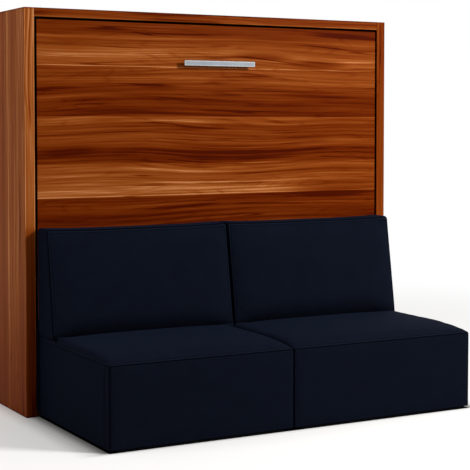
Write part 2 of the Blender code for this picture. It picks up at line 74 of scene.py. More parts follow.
class Wire:
    """A socket that reads like a number: each operator adds its Math node."""

    def __init__(self, look, socket):
        self.look = look
        self.socket = socket

    def sum_with(self, operation, *others):
        return self.look.add("Math", {"operation": operation}, (self, *others))

    def __add__(self, other):
        return self.sum_with("ADD", other)

    def __sub__(self, other):
        return self.sum_with("SUBTRACT", other)

    def __rsub__(self, other):
        return self.look.add("Math", {"operation": "SUBTRACT"}, (other, self))

    def __mul__(self, other):
        return self.sum_with("MULTIPLY", other)

    def __truediv__(self, other):
        return self.sum_with("DIVIDE", other)

    def __pow__(self, other):
        return self.sum_with("POWER", other)

    def __abs__(self):
        return self.sum_with("ABSOLUTE")

    __radd__ = __add__
    __rmul__ = __mul__

    def wave(self, pitch):
        """0 to 1 and back over each pitch."""
        return (self * (2 * math.pi / pitch)).sum_with("SINE") * 0.5 + 0.5

    def rise(self, start, end):
        """0 before start, 1 after end, and smooth between them."""
        return self.look.add(
            "MapRange",
            {"interpolation_type": "SMOOTHSTEP"},
            {"Value": self, "From Min": start, "From Max": end},
        )

    def near(self, middle, reach):
        """1 at the middle, 0 from the reach on."""
        return 1 - abs(self - middle).rise(0, reach)


class Nodes:
    """A node tree and the calls that add to it."""

    def __init__(self, tree):
        self.tree = tree

    def feed(self, socket, value):
        if isinstance(value, Wire):
            self.tree.links.new(value.socket, socket)
        else:
            socket.default_value = value

    def add(self, kind, settings=None, sockets=(), out=0):
        node = self.tree.nodes.new("ShaderNode" + kind)
        for name, value in (settings or {}).items():
            if name == "stops":
                while len(node.color_ramp.elements) < len(value):
                    node.color_ramp.elements.new(0.5)
                for stop, (place, colour) in zip(node.color_ramp.elements, value):
                    stop.position = place
                    stop.color = colour if isinstance(colour, tuple) else (colour, colour, colour, 1)
            else:
                setattr(node, name, value)
        pairs = sockets.items() if isinstance(sockets, dict) else enumerate(sockets)
        for name, value in pairs:
            self.feed(node.inputs[name], value)
        return Wire(self, node.outputs[out])

    def seen(self):
        """1 for the rays that show a thing itself, in a mirror or through glass."""
        direct, mirrored, through = (
            self.add("LightPath", out=f"Is {kind} Ray") for kind in ("Camera", "Glossy", "Transmission")
        )
        return direct.sum_with("MAXIMUM", mirrored).sum_with("MAXIMUM", through)

    def noise(self, a, b, c=0.0, detail=2.0, roughness=0.5, bend=0.0):
        spot = self.add("CombineXYZ", None, (a, b, c))
        return self.add(
            "TexNoise",
            None,
            {"Vector": spot, "Scale": 1.0, "Detail": detail, "Roughness": roughness, "Distortion": bend},
        )

    def ramp(self, value, *stops):
        return self.add("ValToRGB", {"stops": stops}, (value,))

    def blend(self, share, first, second):
        return self.add(
            "Mix", {"data_type": "RGBA", "blend_type": "MIX"}, {0: share, 6: first, 7: second}, out=2
        )


class Look(Nodes):
    """A material, and what feeds its shader."""

    def __init__(self, name, **constants):
        self.material = bpy.data.materials.new(name)
        self.material.use_nodes = True
        super().__init__(self.material.node_tree)
        self.shader = self.tree.nodes["Principled BSDF"]
        self.finish(**constants)

    def finish(self, **sockets):
        for name, value in sockets.items():
            self.feed(self.shader.inputs[name.replace("_", " ").title().replace("Ior", "IOR")], value)

    def place(self):
        """The x, y and z of the resting object, in metres."""
        here = self.add("TexCoord", out="Object")
        return [self.add("SeparateXYZ", None, (here,), out=axis) for axis in "XYZ"]

    def bump(self, height, depth, strength=1.0):
        """Relief: the height, 0 to 1, stands for the depth in metres."""
        relief = self.add("Bump", None, {"Strength": strength, "Distance": depth, "Height": height})
        self.finish(normal=relief)


# Walnut: how dark or light the door's boards are, from its foot to its top
BOARD_TONES = (
    (0.50, 0.30), (0.64, 0.50), (0.76, 0.34), (0.90, 0.40), (0.97, 0.20), (1.05, 0.26), (1.122, 0.27),
    (1.125, 0.66), (1.17, 0.75), (1.24, 0.65), (1.298, 0.42), (1.301, 0.12), (1.35, 0.18), (1.40, 0.34),
    (1.47, 0.44), (1.543, 0.55), (1.547, 0.16), (1.60, 0.20), (1.68, 0.28), (1.72, 0.46), (1.809, 0.52),
    (1.812, 0.70), (1.90, 0.64), (1.97, 0.56), (1.985, 0.22), (2.042, 0.28),
)
# Pale and dark streaks, such as the glue lines between boards: axis, level, reach and lift
BOARD_LINES = (
    ("z", 1.811, 0.0045, 0.36), ("z", 1.545, 0.0045, 0.26), ("z", 1.126, 0.0045, 0.22),
)
# Figure of the door: x, z, half length, half height and lift of its large streaks
BOARD_STREAKS = (
    (-0.65, 2.008, 0.22, 0.012, -0.32), (0.80, 2.011, 0.31, 0.020, -0.32),
    (-0.36, 1.704, 0.18, 0.016, -0.24), (-0.81, 1.636, 0.22, 0.021, -0.14),
    (-0.61, 1.575, 0.49, 0.013, -0.24), (0.66, 1.672, 0.41, 0.034, -0.16),
    (-0.23, 1.517, 0.27, 0.032, 0.12), (0.21, 1.357, 0.70, 0.014, -0.26),
    (-0.86, 1.362, 0.22, 0.041, -0.18), (-0.11, 1.187, 0.58, 0.009, 0.20),
    (0.73, 1.098, 0.34, 0.029, -0.3), (-0.81, 1.216, 0.33, 0.062, 0.08),
    (0.85, 1.152, 0.60, 0.060, -0.45), (-0.41, 1.900, 0.41, 0.048, 0.08),
    (0.28, 1.873, 0.28, 0.032, -0.42), (0.65, 1.848, 0.28, 0.034, -0.42),
    (-0.20, 1.990, 0.30, 0.007, -0.22), (-0.93, 1.700, 0.16, 0.010, -0.25),
    (0.55, 1.432, 0.22, 0.012, -0.20), (-0.45, 1.660, 0.30, 0.008, -0.20),
)
# Lines on the side panels, as axis, level, reach and lift: the x lines are painted highlights along the
# bevels of the front edges, and the left panel's last line is painted contact shade along its foot
LEFT_SIDE_LINES = (
    ("x", -1.1075, 0.0034, 0.24), ("x", -1.0595, 0.0034, 0.24), ("y", 0.477, 0.022, 0.15),
    ("y", 0.43, 0.09, 0.06), ("y", 0.545, 0.016, -0.08), ("z", 2.097, 0.006, -0.35),
    ("z", 0.002, 0.012, -0.35),
)
RIGHT_SIDE_LINES = (("x", 1.066, 0.004, 0.20), ("x", 1.1075, 0.0034, 0.12))
TOP_LINES = (("z", 2.057, 0.004, 0.20), ("z", 2.099, 0.005, -0.40), ("z", 2.078, 0.004, -0.15))
WALNUT_COLOURS = (
    (0.0, tint(76, 17, 0)), (0.14, tint(99, 30, 0)), (0.32, tint(115, 43, 3)), (0.50, tint(131, 56, 11)),
    (0.68, tint(150, 73, 23)), (0.84, tint(168, 92, 39)), (1.0, tint(210, 136, 82)),
)


# Near-black brown painted as shade on the faces inside the gaps
GAP_SHADE = tint(14, 4, 2)
LACQUER_SHINE = 0.01
GRAIN_DEPTH = 0.0001


def walnut(name, run, height, tone, seed, figure, lines, hidden, patches=()):
    """Veneer: run is the way along the grain, height the way across it, and tone its ground, 0 to 1.

    Hidden tells the faces inside the gaps round the door, where painted shade turns the board near black.
    """
    look = Look(name, specular_ior_level=LACQUER_SHINE)
    x, y, z = place = look.place()
    along, across = run(x, y, z), height(x, y, z)
    drift = look.noise(along * 0.8, across * 1.8, seed, 1.0) - 0.5
    bent = across + drift * 0.10
    bands = look.noise(along * 0.35, bent * 15, seed + 3, 2.0, 0.5) - 0.5
    streaks = look.noise(along * 0.9, bent * 75, seed + 7, 4.0, 0.62) - 0.5
    fibres = look.noise(along * 4, bent * 420, seed + 17, 2.0) - 0.5
    swirl = look.noise(along * 1.3, bent * 9, seed + 23, 1.0)
    rings = (swirl * 9).wave(1.0) ** 6
    vein = 1 - abs(look.noise(along * 0.5, bent * 20, seed + 29, 1.0) - 0.5).rise(0.0, 0.022)
    broken = look.noise(along * 2.0, bent * 30, seed + 31, 1.0).rise(0.42, 0.6)
    ground = tone(look, x, y, z) if callable(tone) else tone
    figured = bands * 0.9 + streaks * 1.1 + fibres * 0.4 - (vein * 0.42 + rings * 0.10) * broken
    value = ground + figured * figure
    for axis, level, reach, lift in lines:
        value = value + place["xyz".index(axis)].near(level, reach) * lift
    for middle, level, length, reach, lift in patches:
        far = (((x - middle) / length) ** 2 + ((z + drift * 0.05 - level) / reach) ** 2) ** 0.5
        value = value + (1 - far.rise(0.2, 1.0)) * lift
    # Painted shade: the faces inside the gaps are blended to near black
    veneer = look.blend(hidden(x, y, z), look.ramp(value, *WALNUT_COLOURS), GAP_SHADE)
    look.finish(base_color=veneer, roughness=0.42 + streaks * 0.2)
    look.bump(fibres + streaks, GRAIN_DEPTH)
    return look.material


# Faces inside the gaps lie past these distances from the middle, the floor and the front
DOOR_END = 1.0437
DOOR_TOP = 2.0417
SIDE_INNER = 1.0563
TOP_UNDER = 2.0543
GAP_DEPTH = 0.262
CABINET_FRONT = 0.2264


def board_tones(look, x, y, z):
    """The door's boards as a ramp over its height."""
    low, high = BOARD_TONES[0][0], BOARD_TONES[-1][0]
    stops = [((level - low) / (high - low), tone) for level, tone in BOARD_TONES]
    return look.ramp((z - low) / (high - low), *stops) + 0.05


def left_side_tone_and_shade(look, x, y, z):
    """Redder and darker toward the foot, as painted shade, and most of all on the front edge beside the sofa,
    as the sofa's painted shadow.
    """
    # Painted shadow of the sofa on the lower front edge, and painted shade toward the foot
    shade_beside_sofa = (1 - z.rise(0.94, 1.0)) * y.sum_with("LESS_THAN", CABINET_FRONT)
    return 0.50 + z.rise(-0.1, 0.9) * 0.28 - shade_beside_sofa * 0.20


# Painted shade in the gaps: these masks pick the faces that the veneer turns near black
def door_gap_shade(x, y, z):
    at_end = abs(x).sum_with("GREATER_THAN", DOOR_END)
    return at_end.sum_with("MAXIMUM", z.sum_with("GREATER_THAN", DOOR_TOP))


def inner_gap_shade(x, y, z):
    return abs(x).sum_with("LESS_THAN", SIDE_INNER) * y.sum_with("LESS_THAN", GAP_DEPTH)


def under_gap_shade(x, y, z):
    return z.sum_with("LESS_THAN", TOP_UNDER) * y.sum_with("LESS_THAN", GAP_DEPTH)


def plain_board(name, dark, light, run, across, grain=60.0):
    """Simple wood: fine grain between two colours."""
    look = Look(name, roughness=0.6, specular_ior_level=0.1)
    places = look.place()
    along = places["xyz".index(run)]
    side = sum((places["xyz".index(axis)] for axis in across[1:]), places["xyz".index(across[0])])
    streaks = look.noise(along * 2.0, side * grain, 0, 4.0, 0.6, 0.3)
    pores = look.noise(along * 30, side * grain * 8, 5, 2.0)
    look.finish(base_color=look.ramp(streaks * 0.8 + pores * 0.2, (0.3, dark), (0.7, light)))
    look.bump(streaks * 0.5 + pores * 0.5, 0.0002)
    return look.material


NAP = {"sheen_weight": 0.12, "sheen_roughness": 0.5, "sheen_tint": tint(44, 58, 92)}
THREAD_PITCH = 0.0013
STITCH_PITCH = 0.0062
LIP_WAY = 0.0062
STITCH_WAY = 0.0135


def upholstery(name, seams=True):
    """Dense navy cloth: a fine weave, faint mottling and stitches, with painted shade in the seams' grooves
    and in creases, and a painted highlight on the seams' lips.
    """
    look = Look(name, specular_ior_level=0.02, **NAP)
    x, y, z = look.place()
    threads = (x + y).wave(THREAD_PITCH) * (z + y * 0.5).wave(THREAD_PITCH)
    mottle = look.noise(x * 9, y * 9, z * 9, 3.0, 0.6)
    slub = look.noise(x * 220, y * 220, z * 60, 2.0)
    cloth = look.ramp(mottle * 0.6 + slub * 0.4, (0.3, tint(12, 16, 27)), (0.7, tint(16, 21, 33)))
    relief = threads * 0.5 + slub * 0.5
    if seams:
        gap = look.add("Attribute", {"attribute_name": "seam_gap"}, out="Fac")
        shaded = look.add("Attribute", {"attribute_name": "shaded"}, out="Fac")
        # Painted shade: fold, the seam's groove, turns near black. Painted highlight: lip, beside the groove,
        # turns paler.
        fold = 1 - abs(gap).rise(0.0010, 0.0042)
        lip = gap.near(LIP_WAY, 0.0028)
        stitch = gap.near(STITCH_WAY, 0.0030) * ((x + y + z).wave(STITCH_PITCH) * 0.4 + 0.6)
        cloth = look.blend(lip * 0.12, cloth, tint(52, 62, 86))
        cloth = look.blend(stitch * 0.9, cloth, tint(4, 5, 9))
        # Painted shade where the shaded attribute says
        cloth = look.blend(shaded * 0.85, cloth, tint(2, 3, 6))
        cloth = look.blend(fold, cloth, tint(1, 2, 4))
        relief = relief - stitch * 0.4 - fold * 0.5
    look.finish(base_color=cloth, roughness=0.82 + mottle * 0.1)
    look.bump(relief, 0.0004, 0.6)
    return look.material


def metal(name, dark, light, roughness, run="x", brushed=1.0, metallic=1.0):
    """Metal with brushing along one axis, or coated metal where it is little brushed."""
    look = Look(name, metallic=metallic)
    places = look.place()
    spot = [place * (14 if axis == run else 900) for axis, place in zip("xyz", places)]
    brush = look.noise(*spot, 2.0)
    smear = look.noise(*[place * 14 for place in places], 3.0)
    look.finish(
        base_color=look.ramp(brush * brushed * 0.6 + smear * 0.4, (0.2, dark), (0.8, light)),
        roughness=roughness + smear * 0.12,
    )
    look.bump(brush, 0.00005 * brushed)
    return look


def bar_metal():
    """The handle's satin bar: brushed along its length, with a painted highlight round the rim of its face.
    """
    look = metal("handle_satin", tint(94, 98, 104), tint(114, 119, 124), 0.36)
    low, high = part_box("handle")
    x, y, z = look.place()
    to_end = (high.x - low.x) / 2 - abs(x - (low.x + high.x) / 2)
    to_edge = (high.z - low.z) / 2 - abs(z - (low.z + high.z) / 2)
    # Painted highlight: a paler band round the face's rim, where its bevel catches the light
    rim_highlight = 1 - to_end.sum_with("MINIMUM", to_edge).rise(0.0040, 0.0062)
    base = Wire(look, look.shader.inputs["Base Color"].links[0].from_socket)
    look.finish(base_color=look.blend(rim_highlight, base, tint(154, 153, 152)))
    return look.material


def mattress_cloth():
    """Quilted pale knit with stitched lines."""
    look = Look("mattress_ticking", roughness=0.9, sheen_weight=0.2)
    x, y, z = look.place()
    knit = (x + z).wave(0.0022) * (x - z).wave(0.0022)
    lines = (x + z).wave(0.14).rise(0.985, 1.0).sum_with("MAXIMUM", (x - z).wave(0.14).rise(0.985, 1.0))
    mottle = look.noise(x * 30, y * 30, z * 30, 3.0)
    cloth = look.ramp(mottle, (0.3, tint(214, 211, 203)), (0.7, tint(228, 226, 220)))
    look.finish(base_color=look.blend(lines * 0.35, cloth, tint(150, 147, 140)))
    look.bump(knit * 0.3 + (1 - lines) * 0.7, 0.0012, 0.7)
    return look.material


def webbing():
    """Black strap with a ribbed weave."""
    look = Look("strap_webbing", roughness=0.75)
    x, y, z = look.place()
    ribs = (y + z).wave(0.0024)
    chevron = (x + (y + z).wave(0.0048) * 0.001).wave(0.004)
    weave = ribs * 0.5 + chevron * 0.5
    look.finish(base_color=look.ramp(weave, (0.2, tint(20, 20, 22)), (0.8, tint(44, 44, 48))))
    look.bump(weave, 0.0004)
    return look.material


def plastic():
    """Moulded black plastic with a fine grain."""
    look = Look("skid_plastic", roughness=0.8, specular_ior_level=0.02)
    x, y, z = look.place()
    grain = look.noise(x * 400, y * 400, z * 400, 2.0)
    look.finish(base_color=look.ramp(grain, (0.3, tint(8, 8, 9)), (0.7, tint(14, 14, 15))))
    look.bump(grain, 0.0001)
    return look.material


upright_grain = (lambda x, y, z: z), (lambda x, y, z: x + y)
level_grain = (lambda x, y, z: x), (lambda x, y, z: z + y)
navy = upholstery("navy_upholstery")
LOOKS = {
    "left_side_panel": walnut(
        "walnut_left_side", *upright_grain, left_side_tone_and_shade, 21.0, 0.8, LEFT_SIDE_LINES, inner_gap_shade
    ),
    "right_side_panel": walnut(
        "walnut_right_side", *upright_grain, 0.50, 33.0, 0.7, RIGHT_SIDE_LINES, inner_gap_shade
    ),
    "top_panel": walnut("walnut_top", *level_grain, 0.52, 47.0, 0.9, TOP_LINES, under_gap_shade),
    "bed_door": walnut(
        "walnut_door", *level_grain, board_tones, 5.0, 1.0, BOARD_LINES, door_gap_shade, BOARD_STREAKS
    ),
    "handle": bar_metal(),
    "navy_fabric": upholstery("navy_base_cloth", False),
    "dark_board": plain_board("dark_board", tint(34, 12, 6), tint(54, 22, 11), "x", "zy"),
    "plywood": plain_board("plywood_board", tint(176, 142, 98), tint(206, 174, 128), "x", "zy", 24.0),
    "beech": plain_board("beech_slats", tint(190, 152, 106), tint(216, 182, 136), "z", "xy", 90.0),
    "dark_steel": metal("coated_steel", tint(46, 47, 50), tint(62, 63, 66), 0.42, "x", 0.3, 0.4).material,
    "bright_steel": metal("zinc_steel", tint(176, 178, 182), tint(206, 208, 212), 0.28).material,
    "webbing": webbing(),
    "black_plastic": plastic(),
}
for part in frame["record"]["subparts"]:
    name = part["node"]
    look = LOOKS.get(name) or LOOKS.get(part["material_slot"])
    if look:
        for place in nodes[name].material_slots:
            place.material = look


class Skin:
    """A mesh laid out on straight lines, whose points are then put in their real places."""

    def __init__(self):
        self.bm = bmesh.new()
        self.known = {}

    def point(self, spot):
        key = tuple(round(value, 5) for value in spot)
        if key not in self.known:
            self.known[key] = self.bm.verts.new(key)
        return self.known[key]

    def panel(self, axis, level, firsts, seconds, outward):
        """A flat grid square to an axis, facing along it (outward 1) or against it (-1)."""
        for first, beyond in zip(firsts, firsts[1:]):
            for second, above in zip(seconds, seconds[1:]):
                loop = [(first, second), (beyond, second), (beyond, above), (first, above)]
                if (outward > 0) == (axis == 1):
                    loop.reverse()
                spots = [[*pair[:axis], level, *pair[axis:]] for pair in loop]
                self.bm.faces.new([self.point(spot) for spot in spots])

    def lay(self, name, shape, gap, shaded=None):
        """The finished object: shape moves the points, and gap gives each one's way to the next seam.

        The way is above 0 on the side of the stitches. Shaded gives each point's share of painted shade, deep
        in a crease or on a side.
        """
        mesh = bpy.data.meshes.new(name)
        self.bm.to_mesh(mesh)
        self.bm.free()
        mesh.shade_smooth()
        flat = np.array([v.co for v in mesh.vertices])
        mesh.attributes.new("seam_gap", "FLOAT", "POINT").data.foreach_set("value", gap(*flat.T))
        if shaded:
            mesh.attributes.new("shaded", "FLOAT", "POINT").data.foreach_set("value", shaded(*flat.T))
        piece = bpy.data.objects.new(name, mesh)
        scene.collection.objects.link(piece)
        mesh.vertices.foreach_set("co", shape(*flat.T).T.ravel())
        mesh.materials.append(navy)
        mesh.update()
        return piece, flat

    def box(self, low, high, lines):
        """The six sides of a box, each a panel on the lines of its two axes."""
        xs, ys, zs = lines
        for axis, (firsts, seconds) in enumerate(((ys, zs), (xs, zs), (xs, ys))):
            self.panel(axis, low[axis], firsts, seconds, -1)
            self.panel(axis, high[axis], firsts, seconds, 1)


def far_from_seams(x, y, z):
    return np.full(len(x), 0.05)


def spread(low, high, marks, step):
    """Lines from low to high: the marks, counted from both ends, and even steps between them."""
    first, last = low + marks[-1], high - marks[-1]
    count = max(1, round((last - first) / step))
    middle = [first + (last - first) * index / count for index in range(1, count)]
    return [low + mark for mark in marks] + middle + [high - mark for mark in reversed(marks)]


def rounded(spot, low, high, radius):
    """Points of a box, moved onto the same box with round edges."""
    spot = np.array(spot)
    core = np.clip(spot.T, np.array(low) + radius, np.array(high) - radius).T
    arm = spot - core
    length = np.maximum(np.linalg.norm(arm, axis=0), 1e-9)
    return core + arm / length * radius


def share(value, low, high):
    """Where a value lies from -1 at low to 1 at high."""
    return (2 * value - low - high) / (high - low)


def settle(piece, held, reach):
    """Let the cloth between its seams fill out by simulation, by no more than its reach and never inward."""
    mesh = piece.data
    start = np.empty(len(mesh.vertices) * 3)
    mesh.vertices.foreach_get("co", start)
    outward = np.array([v.normal for v in mesh.vertices])
    group = piece.vertex_groups.new(name="sewn")
    for index in np.nonzero(held)[0]:
        group.add([int(index)], 1.0, "REPLACE")
    cloth = piece.modifiers.new("Cloth", "CLOTH")
    cloth.settings.quality = 5
    cloth.settings.mass = 0.25
    cloth.settings.tension_stiffness = 18
    cloth.settings.compression_stiffness = 12
    cloth.settings.bending_stiffness = 0.4
    cloth.settings.vertex_group_mass = "sewn"
    cloth.settings.shrink_min = -0.012
    cloth.settings.use_pressure = True
    cloth.settings.uniform_pressure_force = 4
    cloth.settings.effector_weights.gravity = 0
    cloth.collision_settings.use_collision = False
    cloth.point_cache.frame_start = 1
    cloth.point_cache.frame_end = 20
    for moment in range(1, 21):
        scene.frame_set(moment)
    filled = piece.evaluated_get(bpy.context.evaluated_depsgraph_get()).to_mesh()
    end = np.empty(len(start))
    filled.vertices.foreach_get("co", end)
    piece.modifiers.remove(cloth)
    piece.vertex_groups.remove(group)
    scene.frame_set(1)
    move = (end - start).reshape(-1, 3)
    move -= outward * np.minimum((move * outward).sum(axis=1), 0)[:, None]
    length = np.maximum(np.linalg.norm(move, axis=1), 1e-9)
    allowed = reach * np.tanh(length / reach)
    mesh.vertices.foreach_set("co", start + (move * (allowed / length)[:, None]).ravel())
    mesh.update()


def press_seams(piece, depth, width):
    """Draw the seams in and let their lips stand up beside them."""
    mesh = piece.data
    count = len(mesh.vertices)
    gap = np.empty(count)
    mesh.attributes["seam_gap"].data.foreach_get("value", gap)
    places = np.empty(count * 3)
    mesh.vertices.foreach_get("co", places)
    outward = np.array([v.normal for v in mesh.vertices])
    groove, lip = (np.exp(-(((gap - way) / width) ** 2)) for way in (0, 2.6 * width))
    move = depth * 0.3 * lip - depth * groove
    mesh.vertices.foreach_set("co", (places.reshape(-1, 3) + outward * move[:, None]).ravel())
    mesh.update()


def refine(piece, levels=1):
    """One subdivision, applied when the scene is evaluated."""
    step = piece.modifiers.new("Subdivision", "SUBSURF")
    step.levels = levels
    step.render_levels = levels


def rolled(distance, reach):
    """How far a rolled edge has risen at a distance from its seam, as a share."""
    return np.sqrt(1 - (1 - np.clip(distance / reach, 0, 1)) ** 2)


def rounded_plan(x, y, low, high, radius):
    """Places in plan, with the two front corners rounded."""
    core_x = np.clip(x, low.x + radius, high.x - radius)
    core_y = np.maximum(y, low.y + radius)
    arm_x, arm_y = x - core_x, y - core_y
    tighten = np.maximum(abs(arm_x), abs(arm_y)) / np.maximum(np.hypot(arm_x, arm_y), 1e-9)
    return core_x + arm_x * tighten, core_y + arm_y * tighten


EDGE_MARKS = (0, 0.001, 0.003, 0.006, 0.010, 0.0145, 0.022, 0.032)
SIDE_SEAM = 0.0465
CORNER_ROUND = 0.010
PROUD = 0.001
SEAM_Z = 0.401
BEAM_Z = 0.4205
BEAM_LIFT = 0.006
SEAM_GROOVE = 0.0022
SIDE_GROOVE = 0.0006
EDGE_RISE = 0.034
EDGE_REACH = 0.030
FRONT_REACH = 0.35
REAR_REACH = 0.040
SEAT_CROWN = 0.015
FOOT_RISE = 0.0195
PANEL_STEP = 0.016
TINY = 1e-5


def seat_cover(end):
    """A seat's cover: front and side panels on the frame, and a domed top panel sewn on at the seam.

    The top is a piece of its own, where the back lies when it folds down.
    """
    base_low, base_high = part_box(f"seat_base_{end}")
    pad_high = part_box(f"seat_pad_{end}")[1]
    low = Vector((base_low.x - PROUD, base_low.y - PROUD, base_low.z - 0.0004))
    high = Vector((base_high.x + PROUD, base_high.y - 0.0001, BEAM_Z))
    crease = pad_high.y - 0.0045
    outer_x, inner_x = (low.x, high.x) if end == "left" else (high.x, low.x)
    outward = 1 if outer_x > inner_x else -1
    xs = spread(low.x, high.x, EDGE_MARKS, PANEL_STEP)
    ys = spread(low.y, crease, EDGE_MARKS, PANEL_STEP)
    ys = sorted(ys + [low.y + SIDE_SEAM + way for way in (-0.004, -0.002, 0, 0.002, 0.004)])
    rear_ys = [crease, crease + 0.001, crease + 0.004]
    rear_ys += [crease + (high.y - crease) * step / 12 for step in range(1, 13)]
    first, last = low.z + 0.010, SEAM_Z - 0.014
    zs = [low.z, low.z + 0.0035] + [first + (last - first) * step / 20 for step in range(21)]
    zs += [SEAM_Z - mark for mark in (0.008, 0.004, 0.002, 0)]

    def rise(x, y):
        a, b = share(x, low.x, high.x), rolled(y - low.y, FRONT_REACH)
        ends = rolled(x - low.x, EDGE_REACH) * rolled(high.x - x, EDGE_REACH)
        rear = rolled(crease - y, REAR_REACH)
        full = (EDGE_RISE * ends + SEAT_CROWN * (1 - a ** 4)) * b
        kept = np.minimum(full, FOOT_RISE)
        return kept + (full - kept) * rear

    def groove(x, y, gap, depth):
        """Places in plan with their corners rounded, and drawn in at a seam."""
        plan_x, plan_y = rounded_plan(x, y, low, high, CORNER_ROUND)
        arm_x = plan_x - np.clip(plan_x, low.x + EDGE_REACH, high.x - EDGE_REACH)
        arm_y = plan_y - np.maximum(plan_y, low.y + EDGE_REACH)
        pull = depth * np.exp(-((gap / 0.0024) ** 2)) / np.maximum(np.hypot(arm_x, arm_y), 1e-9)
        return plan_x - arm_x * pull, plan_y - arm_y * pull

    def frame_gap(x, y, z):
        on_side = (x < low.x + TINY) | (x > high.x - TINY)
        to_side_seam = np.where(on_side, abs(y - low.y - SIDE_SEAM), 0.05)
        to_corner = np.where(on_side, y - low.y, np.minimum(x - low.x, high.x - x))
        found = np.minimum(np.minimum(abs(SEAM_Z - z), to_side_seam), np.minimum(to_corner, 0.05))
        return np.where(z < low.z + TINY, 0.05, found) * np.where(z > SEAM_Z, 1, -1)

    def frame_shape(x, y, z):
        gap = frame_gap(x, y, z)
        depth = np.where(abs(SEAM_Z - z) < 0.008, SEAM_GROOVE, SIDE_GROOVE)
        plan_x, plan_y = groove(x, y, gap, depth)
        above = np.maximum(z - SEAM_Z, 0)
        plan_x -= np.sign(x - low.x - TINY) * EDGE_REACH * (1 - np.sqrt(1 - (above / EDGE_RISE) ** 2))
        upright = 1 - share(np.clip(z, low.z, SEAM_Z), low.z, SEAM_Z) ** 4
        z = z + BEAM_LIFT * np.clip((y - 0.02) / 0.03, 0, 1) * above / (BEAM_Z - SEAM_Z)
        front = (abs(y - low.y) < TINY) * (1 - share(x, low.x, high.x) ** 6) * upright
        side = (abs(x - outer_x) < TINY) * (1 - share(y, low.y, high.y) ** 6) * upright
        return np.array((plan_x + 0.0015 * side * outward, plan_y - 0.003 * front, z))

    # Painted shade on the frame's cloth, deeper on the outer side than on the front and inner side
    def painted_frame_shade(x, y, z):
        return np.where(abs(x - outer_x) < TINY, 0.34, 0.16)

    def top_gap(x, y, z):
        lift = rise(x, y)
        from_end = np.minimum(x - low.x, high.x - x)
        found = np.minimum(np.hypot(from_end, lift), np.hypot(y - low.y, lift))
        hidden = (abs(y - crease) < TINY) & (from_end > TINY)
        return np.where(hidden, 0.05, np.minimum(found, 0.05))

    def top_shape(x, y, z):
        plan_x, plan_y = groove(x, y, top_gap(x, y, z), SEAM_GROOVE)
        return np.array((plan_x, plan_y, z + rise(x, y) * (SEAM_Z - z < 0.004)))

    skin = Skin()
    skin.panel(1, low.y, xs, zs, -1)
    skin.panel(2, low.z, xs, [low.y, low.y + 0.006, low.y + 0.010], -1)
    rear_zs = zs + [SEAM_Z + way * (BEAM_Z - SEAM_Z) for way in (0.2, 0.4, 0.6, 0.8, 0.95, 1)]
    for x, facing in ((low.x, -1), (high.x, 1)):
        skin.panel(0, x, ys, zs, facing)
        skin.panel(0, x, rear_ys, rear_zs, facing)
    piece, flat = skin.lay(f"seat_cover_{end}", frame_shape, frame_gap, painted_frame_shade)
    x, y, z = flat.T
    corner = (np.minimum(x - low.x, high.x - x) < CORNER_ROUND + TINY) & (y - low.y < CORNER_ROUND + TINY)
    hemmed = (z < low.z + 0.02) | (z > SEAM_Z - TINY) | (y > high.y - 0.03)
    held = corner | hemmed | (abs(frame_gap(x, y, z)) < 0.006)
    settle(piece, held, np.where(abs(x - inner_x) < TINY, 0.0003, 0.003))
    refine(piece)
    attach(piece, "cabinet")

    skin = Skin()
    skin.panel(2, SEAM_Z, xs, ys, 1)
    skin.panel(1, crease, xs, [SEAM_Z - way for way in (0.016, 0.003, 0.001, 0)], 1)
    piece, flat = skin.lay(f"seat_top_{end}", top_shape, top_gap)
    x, y, z = flat.T
    held = (top_gap(x, y, z) < 0.008) | (y > crease - TINY)
    settle(piece, held, np.full(len(x), 0.004))
    refine(piece)
    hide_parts(f"seat_pad_{end}")
    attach(piece, "cabinet")
    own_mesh(piece)


BACK_MARKS = (0, 0.001, 0.003, 0.005, 0.009, 0.014, 0.022, 0.032)
BACK_SEAM = 0.003
BACK_ROUND = 0.006
BACK_CORNER = 0.018
BACK_CROWN = 0.024
BACK_ROLL = 0.09
BACK_LEAN = 0.085
BACK_STEP_FORWARD = 0.015
BACK_END_DROP = 0.009
LEFT_BULGE = 0.008
RIGHT_BULGE = 0.004
INNER_TUCK = 0.004


